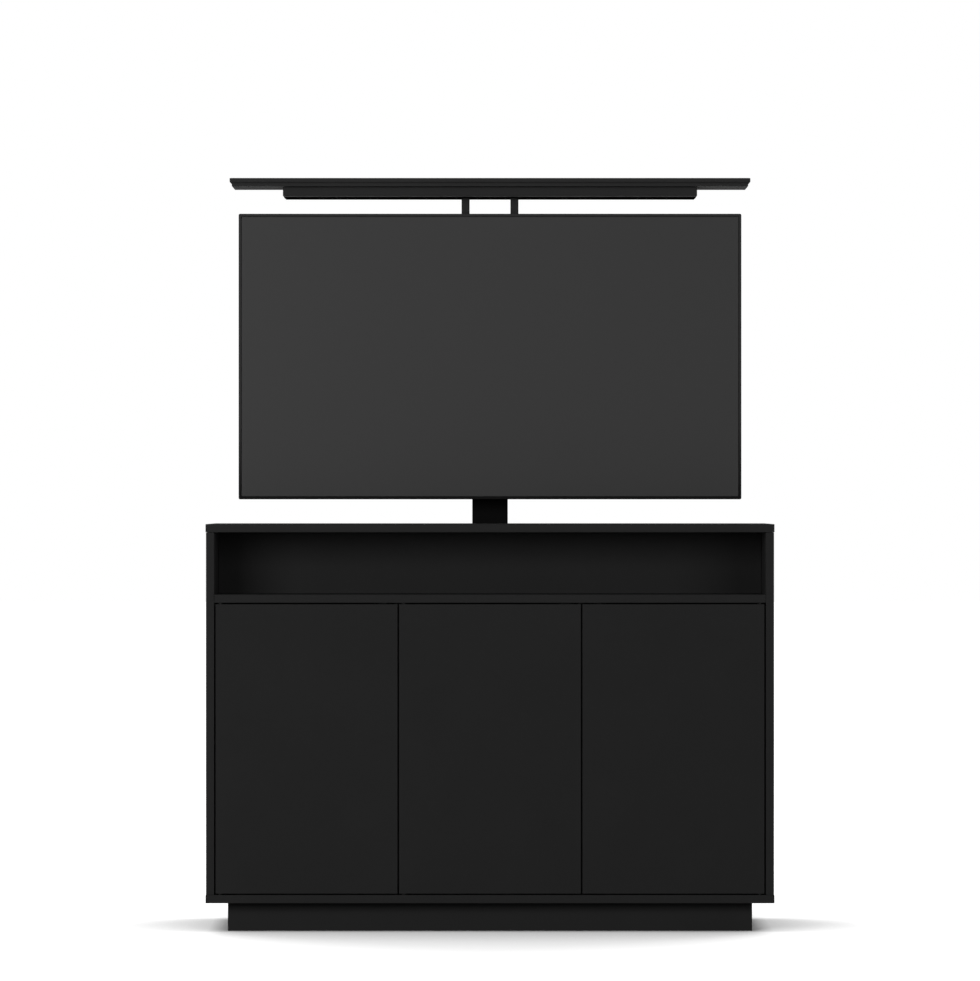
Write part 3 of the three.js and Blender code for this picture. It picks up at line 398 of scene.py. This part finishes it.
def plain_mesh(piece, name):
    """The finished mesh of a piece with modifiers. The piece itself goes."""
    bpy.context.view_layer.update()
    shown = piece.evaluated_get(bpy.context.evaluated_depsgraph_get())
    mesh = bpy.data.meshes.new_from_object(shown)
    mesh.name = name
    source = piece.data
    bpy.data.objects.remove(piece)
    bpy.data.meshes.remove(source)
    return mesh


def roll_lower_edge(form, low):
    """Rolls the bezel's lower front edge under, so it turns away from the light."""

    def on_corner(end):
        return abs(end.co.z - low.z) < TOUCHING and abs(end.co.y - low.y) < TOUCHING

    bmesh.ops.bevel(
        form,
        geom=[edge for edge in form.edges if all(on_corner(end) for end in edge.verts)],
        offset=BEZEL_ROLL,
        segments=BEZEL_ROLL_STEPS,
        profile=0.5,
        affect="EDGES",
    )


def merged_copy(node, name):
    """A node's mesh as one closed skin, without the edges that its flat faces were cut along."""
    form = bmesh.new()
    form.from_mesh(frame["nodes"][node].data)
    bmesh.ops.remove_doubles(form, verts=form.verts, dist=MERGED_WITHIN)
    bmesh.ops.dissolve_limit(form, angle_limit=FLAT_WITHIN, verts=form.verts, edges=form.edges)
    if node == "tv_bezel":
        roll_lower_edge(form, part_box(node)[0])
    for face in form.faces:
        face.smooth = True
    return end_form(form, name)


def bay_cutter():
    """A closed block that cuts the bay for the sockets into the TV's back."""
    centre = Vector((BAY_X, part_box("tv_rear_cover")[1].y, BAY_Z))
    size = Vector((BAY_WIDTH, 2 * BAY_DEPTH, BAY_HEIGHT))
    form = bmesh.new()
    bmesh.ops.create_cube(form, size=1)
    for point in form.verts:
        point.co = centre + point.co * size
    through = [edge for edge in form.edges if abs((edge.verts[0].co - edge.verts[1].co).y) > BAY_DEPTH]
    bmesh.ops.bevel(
        form, geom=through, offset=BAY_CORNER, segments=BAY_CORNER_STEPS, profile=0.5, affect="EDGES"
    )
    return add_object("bay_cutter", end_form(form, "bay_cutter"))


def cut_bay(piece):
    """Cuts the bay into the TV's cover. The cutter goes when the piece's mesh is plain."""
    cutter = bay_cutter()
    bay = piece.modifiers.new("connector_bay", "BOOLEAN")
    bay.operation = "DIFFERENCE"
    bay.solver = "EXACT"
    bay.object = cutter
    return cutter


def round_edges(piece, width):
    bevel = piece.modifiers.new("arris", "BEVEL")
    bevel.width = width
    bevel.segments = ARRIS_STEPS
    bevel.limit_method = "ANGLE"
    bevel.angle_limit = ROUNDED_FROM
    piece.modifiers.new("even_shading", "WEIGHTED_NORMAL")


def finish_node(node):
    """A copy of a node with rounded edges and its own finish, in place of the node."""
    slot = node_slot[node]
    name = f"finished_{node}"
    piece = add_object(name, merged_copy(node, name))
    cutter = cut_bay(piece) if node == "tv_rear_cover" else None
    round_edges(piece, ARRISES[slot.split("_")[-1]])
    piece = add_object(name, plain_mesh(piece, name))
    if cutter:
        bpy.data.objects.remove(cutter)
    piece.data.materials.clear()
    piece.data.materials.append(finishes[slot])
    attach(piece, node_body[node])
    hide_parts(node)


# Screws, bolts, pins and sleeves


def new_tree(name, sizes, seed):
    """A tree that sets a small part on each spot of the mesh it is given, along the spot's facing."""
    tree = bpy.data.node_groups.new(name, "GeometryNodeTree")
    tree.is_modifier = True
    tree.interface.new_socket("Spots", in_out="INPUT", socket_type="NodeSocketGeometry")
    for label, size in sizes.items():
        tree.interface.new_socket(label, in_out="INPUT", socket_type="NodeSocketFloat").default_value = size
    tree.interface.new_socket("Seed", in_out="INPUT", socket_type="NodeSocketInt").default_value = seed
    tree.interface.new_socket("Finish", in_out="INPUT", socket_type="NodeSocketMaterial")
    tree.interface.new_socket("Parts", in_out="OUTPUT", socket_type="NodeSocketGeometry")
    return tree, add_node(tree, "NodeGroupInput").outputs


def along_z(tree, length):
    return add_node(tree, "ShaderNodeCombineXYZ", {"Z": length}).outputs["Vector"]


def random_turn(tree, seed):
    """A turn of up to half a circle about a part's own axis, another one for each spot."""
    # Inputs 2 and 3 and output 1 are the ones for plain numbers
    chance = add_node(tree, "FunctionNodeRandomValue", {2: 0.0, 3: math.pi, "Seed": seed}, data_type="FLOAT")
    values = {"Euler": along_z(tree, chance.outputs[1])}
    return add_node(tree, "FunctionNodeEulerToRotation", values).outputs["Rotation"]


def set_on_spots(tree, given, part):
    """Ends a tree: the part on each spot, turned at random, as plain mesh with its finish."""
    facing = add_node(tree, "GeometryNodeInputNamedAttribute", {"Name": "facing"}, data_type="FLOAT_VECTOR")
    values = {"Vector": facing.outputs["Attribute"]}
    aligned = add_node(tree, "FunctionNodeAlignRotationToVector", values, axis="Z")
    values = {"Rotation": aligned.outputs["Rotation"], "Rotate By": random_turn(tree, given["Seed"])}
    turned = add_node(tree, "FunctionNodeRotateRotation", values, rotation_space="LOCAL")
    values = {"Points": given["Spots"], "Instance": part, "Rotation": turned.outputs["Rotation"]}
    placed = add_node(tree, "GeometryNodeInstanceOnPoints", values)
    real = add_node(tree, "GeometryNodeRealizeInstances", {"Geometry": placed.outputs["Instances"]})
    values = {"Geometry": real.outputs["Geometry"], "Material": given["Finish"]}
    finished = add_node(tree, "GeometryNodeSetMaterial", values)
    add_node(tree, "NodeGroupOutput", {"Parts": finished.outputs["Geometry"]})
    return tree


def moved(tree, form, **changes):
    return add_node(tree, "GeometryNodeTransform", {"Geometry": form, **changes}).outputs["Geometry"]


def joined(tree, forms):
    join = add_node(tree, "GeometryNodeJoinGeometry")
    for form in forms:
        tree.links.new(form, join.inputs["Geometry"])
    return join.outputs["Geometry"]


def cut_away(tree, form, cutters):
    settings = {"operation": "DIFFERENCE", "solver": "EXACT"}
    boolean = add_node(tree, "GeometryNodeMeshBoolean", {"Mesh 1": form}, **settings)
    for cutter in cutters:
        tree.links.new(cutter, boolean.inputs["Mesh 2"])
    return boolean.outputs["Mesh"]


def disc(tree, sides, radius, height, lift=0.0):
    """A closed disc that stands on z = lift. The second output picks its top face."""
    values = {"Vertices": sides, "Radius": radius, "Depth": height}
    form = add_node(tree, "GeometryNodeMeshCylinder", values)
    centre = calculate(tree, "ADD", calculate(tree, "MULTIPLY", height, 0.5), lift)
    return moved(tree, form.outputs["Mesh"], Translation=along_z(tree, centre)), form.outputs["Top"]


def raised(tree, form, top, height, scale):
    """Draws the top face up by height and scales it, for a dome or a taper."""
    values = {"Mesh": form, "Selection": top, "Offset Scale": height}
    drawn = add_node(tree, "GeometryNodeExtrudeMesh", values, mode="FACES")
    values = {"Geometry": drawn.outputs["Mesh"], "Selection": drawn.outputs["Top"], "Scale": scale}
    scaled = add_node(tree, "GeometryNodeScaleElements", values, domain="FACE")
    return scaled.outputs["Geometry"], drawn.outputs["Top"]


def domed_head(tree, given, sides):
    """A head with a cylindrical rim under a dome."""
    height = given["Head Height"]
    form, top = disc(tree, sides, given["Head Radius"], calculate(tree, "MULTIPLY", height, HEAD_RIM))
    for share, scale in DOME_STEPS:
        form, top = raised(tree, form, top, calculate(tree, "MULTIPLY", height, share), scale)
    return form


def screw_tree():
    """Domed screws with a cross recess."""
    tree, given = new_tree("cross_screws", USUAL_SCREW, seed=3)
    length = given["Recess Width"]
    width = calculate(tree, "MULTIPLY", length, RECESS_BAR)
    # Twice the depth, since half of each bar stands above the head
    depth = calculate(tree, "MULTIPLY", given["Recess Depth"], 2.0)
    size = add_node(tree, "ShaderNodeCombineXYZ", {"X": length, "Y": width, "Z": depth}).outputs["Vector"]
    bar = add_node(tree, "GeometryNodeMeshCube", {"Size": size}).outputs["Mesh"]
    top = along_z(tree, given["Head Height"])
    cross = [moved(tree, bar, Translation=top, Rotation=(0, 0, angle)) for angle in (0, math.pi / 2)]
    return set_on_spots(tree, given, cut_away(tree, domed_head(tree, given, sides=20), cross))


def bolt_tree():
    """Button bolts with a six-sided socket, each on its washer."""
    tree, given = new_tree("socket_bolts", BOLT, seed=5)
    floor = calculate(tree, "SUBTRACT", given["Head Height"], given["Socket Depth"])
    depth = calculate(tree, "MULTIPLY", given["Socket Depth"], 2.0)
    socket, _ = disc(tree, sides=6, radius=given["Socket Radius"], height=depth, lift=floor)
    head = cut_away(tree, domed_head(tree, given, sides=24), [socket])
    head = moved(tree, head, Translation=along_z(tree, given["Washer Thickness"]))
    washer, _ = disc(tree, sides=28, radius=given["Washer Radius"], height=given["Washer Thickness"])
    return set_on_spots(tree, given, joined(tree, [head, washer]))


def pin_tree():
    """Shelf pins: a round pin with a collar against the board and a slightly tapered end."""
    tree, given = new_tree("shelf_pins", PIN, seed=7)
    pin, top = disc(tree, sides=16, radius=given["Pin Radius"], height=given["Pin Length"])
    pin, _ = raised(tree, pin, top, PIN_TAPER, PIN_TIP)
    collar, _ = disc(tree, sides=20, radius=given["Collar Radius"], height=given["Collar Height"])
    return set_on_spots(tree, given, joined(tree, [pin, collar]))


def sleeve_tree():
    """Sleeves pressed into the spare shelf holes: a low ring with its bore."""
    tree, given = new_tree("hole_sleeves", SLEEVE, seed=9)
    rim, _ = disc(tree, sides=18, radius=given["Rim Radius"], height=given["Rim Height"])
    bore, _ = disc(tree, sides=14, radius=given["Bore Radius"], height=SLEEVE_CUTTER, lift=SLEEVE_FLOOR)
    return set_on_spots(tree, given, cut_away(tree, rim, [bore]))


SCREWS, BOLTS, PINS, SLEEVES = screw_tree(), bolt_tree(), pin_tree(), sleeve_tree()
LEFT, RIGHT = Vector((-1, 0, 0)), Vector((1, 0, 0))
FORWARD, BACKWARD = Vector((0, -1, 0)), Vector((0, 1, 0))
DOWN, UP = Vector((0, 0, -1)), Vector((0, 0, 1))


def set_parts(name, tree, spots, body, slot, sizes=None):
    """Sets a small part on each spot, as one plain mesh on its body. A spot is a place and a facing."""
    mesh = bpy.data.meshes.new(name)
    mesh.from_pydata([place for place, _ in spots], [], [])
    facings = mesh.attributes.new("facing", "FLOAT_VECTOR", "POINT")
    facings.data.foreach_set("vector", [value for _, facing in spots for value in facing])
    holder = add_object(name, mesh)
    modifier = holder.modifiers.new("parts", "NODES")
    modifier.node_group = tree
    given = {**(sizes or {}), "Finish": finishes[slot]}
    for socket in tree.interface.items_tree:
        if socket.in_out == "INPUT" and socket.name in given:
            modifier[socket.identifier] = given[socket.name]
    mesh = plain_mesh(holder, name)
    mesh.polygons.foreach_set("use_smooth", [True] * len(mesh.polygons))
    mesh.set_sharp_from_angle(angle=SHARP_FROM)
    piece = add_object(name, mesh)
    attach(piece, body)


def all_facing(facing, places):
    return [(place, facing) for place in places]


def middle(node):
    low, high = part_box(node)
    return (low + high) / 2


def ends(low, high, inset):
    """The two places that lie in by inset from the ends of a span."""
    return low + inset, high - inset


def evenly(first, last, count):
    """Places at even steps from the first to the last."""
    return [first + (last - first) * step / (count - 1) for step in range(count)]


def hinge_screws():
    """Two screws in each hinge plate, in a row with its pin."""
    levels = (("lower", UP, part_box("bottom_board")[1].z), ("upper", DOWN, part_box("niche_shelf")[0].z))
    spots = []
    for door in DOORS:
        bush_x = middle(f"pivot_bush_lower_{door}").x
        pin_at_left = abs(bush_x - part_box(f"pivot_pin_lower_{door}")[0].x) < HINGE_PIN_NEAR
        inward = 1 if pin_at_left else -1
        for level, facing, board_z in levels:
            low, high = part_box(f"pivot_pin_{level}_{door}")
            pin_x = low.x + HINGE_PLATE_END if pin_at_left else high.x - HINGE_PLATE_END
            for step in (1, 2):
                x = pin_x + inward * step * HINGE_SCREW_PITCH
                place = Vector((x, (low.y + high.y) / 2, board_z)) - facing * HINGE_SCREW_SUNK
                spots.append((place, facing))
    set_parts("hinge_screws", SCREWS, spots, "cabinet", "hinge_steel", HINGE_SCREW)


def latch_screws():
    places = []
    for door in DOORS:
        centre = middle(f"latch_housing_{door}")
        ear_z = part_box(f"latch_housing_{door}")[1].z - LATCH_EAR
        for side in (-1, 1):
            places.append((centre.x + side * LATCH_SCREW_OUT, centre.y, ear_z))
    set_parts("latch_screws", SCREWS, all_facing(DOWN, places), "cabinet", "hinge_steel", LATCH_SCREW)


def base_plate_bolts():
    low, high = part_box("lift_base_plate")
    xs = ends(low.x, high.x, BASE_BOLT_INSET)
    ys = ends(low.y, high.y, BASE_BOLT_INSET)
    places = [(x, y, high.z) for x in xs for y in ys]
    set_parts("base_plate_bolts", BOLTS, all_facing(UP, places), "cabinet", "hinge_steel")


def gearbox_screws():
    low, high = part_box("gearbox")
    xs = ends(low.x, high.x, GEARBOX_SCREW_INSET)
    ys = ends(low.y, high.y, GEARBOX_SCREW_INSET)
    places = [(x, y, high.z) for x in xs for y in ys]
    set_parts("gearbox_screws", SCREWS, all_facing(UP, places), "cabinet", "hinge_steel", GEARBOX_SCREW)


def motor_screws():
    centre, top = middle("lift_motor"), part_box("lift_motor")[1].z
    places = []
    for step in range(MOTOR_SCREWS):
        angle = math.radians(MOTOR_SCREW_START + step * 360 / MOTOR_SCREWS)
        x = centre.x + MOTOR_SCREW_CIRCLE * math.cos(angle)
        y = centre.y + MOTOR_SCREW_CIRCLE * math.sin(angle)
        places.append((x, y, top))
    set_parts("motor_screws", SCREWS, all_facing(UP, places), "cabinet", "hinge_steel", MOTOR_SCREW)


def control_box_screws():
    low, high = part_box("control_box")
    xs = ends(low.x, high.x, CONTROL_SCREW_INSET)
    zs = ends(low.z, high.z, CONTROL_SCREW_INSET)
    spots = all_facing(FORWARD, [(x, low.y, z) for x in xs for z in zs])
    set_parts("control_box_screws", SCREWS, spots, "cabinet", "hinge_steel", CONTROL_SCREW)


def hanger_bolts():
    """Bolts from behind the hanger plate into the upper slots of both rails."""
    plate_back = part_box("lift_head")[0].y + HANGER_PLATE
    places = []
    for side in ("left", "right"):
        rail = middle(f"tv_rail_{side}")
        for step in range(HANGER_BOLTS):
            places.append((rail.x, plate_back, rail.z + (TOP_RAIL_SLOT - step) * RAIL_SLOT_PITCH))
    set_parts("hanger_bolts", BOLTS, all_facing(BACKWARD, places), "lift_stage", "hinge_steel")


def tv_bolts():
    """One bolt in each rail, below the hanger plate, into the TV's back."""
    places = []
    for side in ("left", "right"):
        rail, rail_back = middle(f"tv_rail_{side}"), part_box(f"tv_rail_{side}")[1].y
        places.append((rail.x, rail_back, rail.z + TOP_RAIL_SLOT * RAIL_SLOT_PITCH - TV_BOLT_SPAN))
    set_parts("tv_bolts", BOLTS, all_facing(BACKWARD, places), "lift_stage", "hinge_steel")


def tv_cover_screws():
    """Screws round the rim of the TV's cover."""
    low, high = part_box("tv_rear_cover")
    rim = low.y + COVER_RIM
    left, right = ends(low.x, high.x, COVER_SCREW_INSET)
    bottom, top = ends(low.z, high.z, COVER_SCREW_INSET)
    across = evenly(left, right, COVER_SCREWS_ACROSS)
    upward = evenly(bottom, top, COVER_SCREWS_UP + 2)[1:-1]
    places = [(x, rim, z) for x in across for z in (bottom, top)]
    places += [(x, rim, z) for x in (left, right) for z in upward]
    spots = all_facing(BACKWARD, places)
    set_parts("tv_cover_screws", SCREWS, spots, "lift_stage", "black_steel", COVER_SCREW)


def carrier_screws():
    """Two rows of countersunk screws under the plate that carries the lid."""
    low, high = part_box("lid_carrier_plate")
    left, right = ends(low.x, high.x, CARRIER_SCREW_INSET)
    xs = evenly(left, right, CARRIER_SCREWS)
    ys = ends(low.y, high.y, CARRIER_SCREW_INSET)
    places = [(x, y, low.z + CARRIER_SCREW_SUNK) for x in xs for y in ys]
    set_parts("carrier_screws", SCREWS, all_facing(DOWN, places), "lift_stage", "black_steel", CARRIER_SCREW)


def rectangle(width, height):
    x, z = width / 2, height / 2
    return [(-x, -z), (x, -z), (x, z), (-x, z)]


def add_socket(form, centre, width, height):
    """A frame with its opening: up the outside, over the rim and down the inside."""
    inner = rectangle(width, height)
    outer = rectangle(width + 2 * SOCKET_WALL, height + 2 * SOCKET_WALL)
    outside = ((outer, 0.0), (outer, SOCKET_HEIGHT))
    inside = ((inner, SOCKET_HEIGHT), (inner, SOCKET_FLOOR))
    rings = []
    for outline, lift in outside + inside:
        rings.append([form.verts.new(centre + Vector((x, lift, z))) for x, z in outline])
    for near, far in zip(rings, rings[1:]):
        for corner in range(4):
            after = (corner + 1) % 4
            form.faces.new((near[corner], near[after], far[after], far[corner]))
    form.faces.new(rings[0])
    form.faces.new(list(reversed(rings[-1])))


def tv_sockets():
    """A row of plain sockets on the bay's floor, wide and square ones in turn."""
    name = "tv_sockets"
    floor_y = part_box("tv_rear_cover")[1].y - BAY_DEPTH
    pitch = BAY_WIDTH / SOCKETS
    form = bmesh.new()
    for step in range(SOCKETS):
        centre = Vector((BAY_X + (step - (SOCKETS - 1) / 2) * pitch, floor_y, BAY_Z))
        width, height = WIDE_SOCKET if step % 2 == 0 else SQUARE_SOCKET
        add_socket(form, centre, width, height)
    bmesh.ops.recalc_face_normals(form, faces=form.faces)
    piece = add_object(name, end_form(form, name))
    piece.data.materials.append(finishes["hinge_steel"])
    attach(piece, "lift_stage")


def shelf_supports():
    """Pins under both ends of each shelf, and sleeves in the spare holes above and below them."""
    pins, sleeves = [], []
    boards = {
        "left": ("side_left", "partition_left"),
        "middle": ("partition_left", "partition_right"),
        "right": ("partition_right", "side_right"),
    }
    for shelf, (left_board, right_board) in boards.items():
        low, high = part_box(f"shelf_{shelf}")
        z = low.z - SHELF_PIN_RADIUS
        for x, facing in ((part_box(left_board)[1].x, RIGHT), (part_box(right_board)[0].x, LEFT)):
            for y in ends(low.y, high.y, SHELF_PIN_INSET):
                pins.append(((x, y, z), facing))
                for step in range(1, SHELF_HOLES + 1):
                    sleeves.append(((x, y, z + step * SHELF_HOLE_PITCH), facing))
                    sleeves.append(((x, y, z - step * SHELF_HOLE_PITCH), facing))
    set_parts("shelf_pins", PINS, pins, "cabinet", "hinge_steel")
    set_parts("hole_sleeves", SLEEVES, sleeves, "cabinet", "black_plastic")


# Camera, light and floor


def add_camera():
    data = bpy.data.cameras.new("camera")
    data.sensor_fit = "HORIZONTAL"
    data.sensor_width = SENSOR_WIDTH
    data.lens = FOCAL_PIXELS / IMAGE_WIDTH * SENSOR_WIDTH
    data.shift_y = HORIZON_DROP / IMAGE_WIDTH
    data.clip_end = CAMERA_REACH
    camera = add_object("camera", data)
    camera.location = (0, front_y - CAMERA_DISTANCE, CAMERA_HEIGHT)
    camera.rotation_euler = (math.radians(90), 0, 0)
    scene.camera = camera


def add_soft_box(name, azimuth, elevation, distance, span, power):
    """A rectangle of light that faces the cabinet's front, with its angles in degrees.

    An azimuth of 0 is straight in front, and right is positive.
    """
    turn, rise = math.radians(azimuth), math.radians(elevation)
    level = math.cos(rise)
    direction = Vector((math.sin(turn) * level, -math.cos(turn) * level, math.sin(rise)))
    data = bpy.data.lights.new(name, "AREA")
    data.shape = "RECTANGLE"
    data.size, data.size_y = (2 * distance * math.tan(math.radians(angle / 2)) for angle in span)
    data.energy = power
    light = add_object(name, data)
    light.location = Vector((0, front_y, AIM_HEIGHT)) + direction * distance
    light.rotation_euler = (-direction).to_track_quat("-Z", "Y").to_euler()


def shows_background(tree):
    """1 for camera rays and for what gloss or glass shows, and 0 for soft light."""
    path = add_node(tree, "ShaderNodeLightPath").outputs
    gloss = calculate(tree, "MAXIMUM", path["Is Glossy Ray"], path["Is Transmission Ray"])
    return calculate(tree, "MAXIMUM", path["Is Camera Ray"], gloss)


def add_surround():
    """A world that is white to look at, and lights only softly."""
    world = bpy.data.worlds.new("surround")
    world.use_nodes = True
    scene.world = world
    tree = world.node_tree
    soft = tree.nodes["Background"]
    soft.inputs["Color"].default_value = grey(1)
    soft.inputs["Strength"].default_value = SURROUND
    white = add_node(tree, "ShaderNodeBackground", {"Color": grey(1), "Strength": 1})
    values = {0: shows_background(tree), 1: soft.outputs[0], 2: white.outputs[0]}
    mix = add_node(tree, "ShaderNodeMixShader", values)
    tree.links.new(mix.outputs[0], tree.nodes["World Output"].inputs["Surface"])


def add_floor():
    """A pale floor that is lifted to white where it is seen, with painted shade from ambient occlusion round
    the cabinet.
    """
    reach = FLOOR_REACH
    corners = [(-reach, -reach, 0), (reach, -reach, 0), (reach, reach, 0), (-reach, reach, 0)]
    mesh = bpy.data.meshes.new("floor")
    mesh.from_pydata(corners, [], [(0, 1, 2, 3)])
    floor = add_object("floor", mesh)
    material = bpy.data.materials.new("pale_floor")
    material.use_nodes = True
    tree = material.node_tree
    tree.nodes.clear()
    diffuse = add_node(tree, "ShaderNodeBsdfDiffuse", {"Color": grey(FLOOR_ALBEDO)})
    # painted shade: ambient occlusion dims the floor's glow near the cabinet
    open_sky = add_node(tree, "ShaderNodeAmbientOcclusion", {"Distance": FLOOR_PAINTED_SHADE_REACH}).outputs["AO"]
    painted_floor_shade = calculate(tree, "POWER", open_sky, FLOOR_PAINTED_SHADE_DEPTH)
    lift = calculate(tree, "MULTIPLY", painted_floor_shade, FLOOR_GLOW)
    strength = calculate(tree, "MULTIPLY", lift, shows_background(tree))
    glow = add_node(tree, "ShaderNodeEmission", {"Color": grey(1), "Strength": strength})
    both = add_node(tree, "ShaderNodeAddShader", {0: diffuse.outputs[0], 1: glow.outputs[0]})
    add_node(tree, "ShaderNodeOutputMaterial", {"Surface": both.outputs[0]})
    mesh.materials.append(material)


add_camera()
add_soft_box("front_left", azimuth=-32, elevation=10, distance=5.2, span=(27, 19), power=226)
add_soft_box("front_right", azimuth=32, elevation=10, distance=11.0, span=(27, 19), power=540)
add_soft_box("overhead", azimuth=-12, elevation=66, distance=4.5, span=(30, 26), power=40)
add_soft_box("back_left", azimuth=-140, elevation=38, distance=5.0, span=(28, 24), power=150)
add_soft_box("back_right", azimuth=140, elevation=38, distance=5.0, span=(28, 24), power=150)
add_surround()
add_floor()

for node in sorted(frame["nodes"]):
    finish_node(node)
hinge_screws()
latch_screws()
base_plate_bolts()
gearbox_screws()
motor_screws()
control_box_screws()
hanger_bolts()
tv_bolts()
tv_cover_screws()
tv_sockets()
carrier_screws()
shelf_supports()
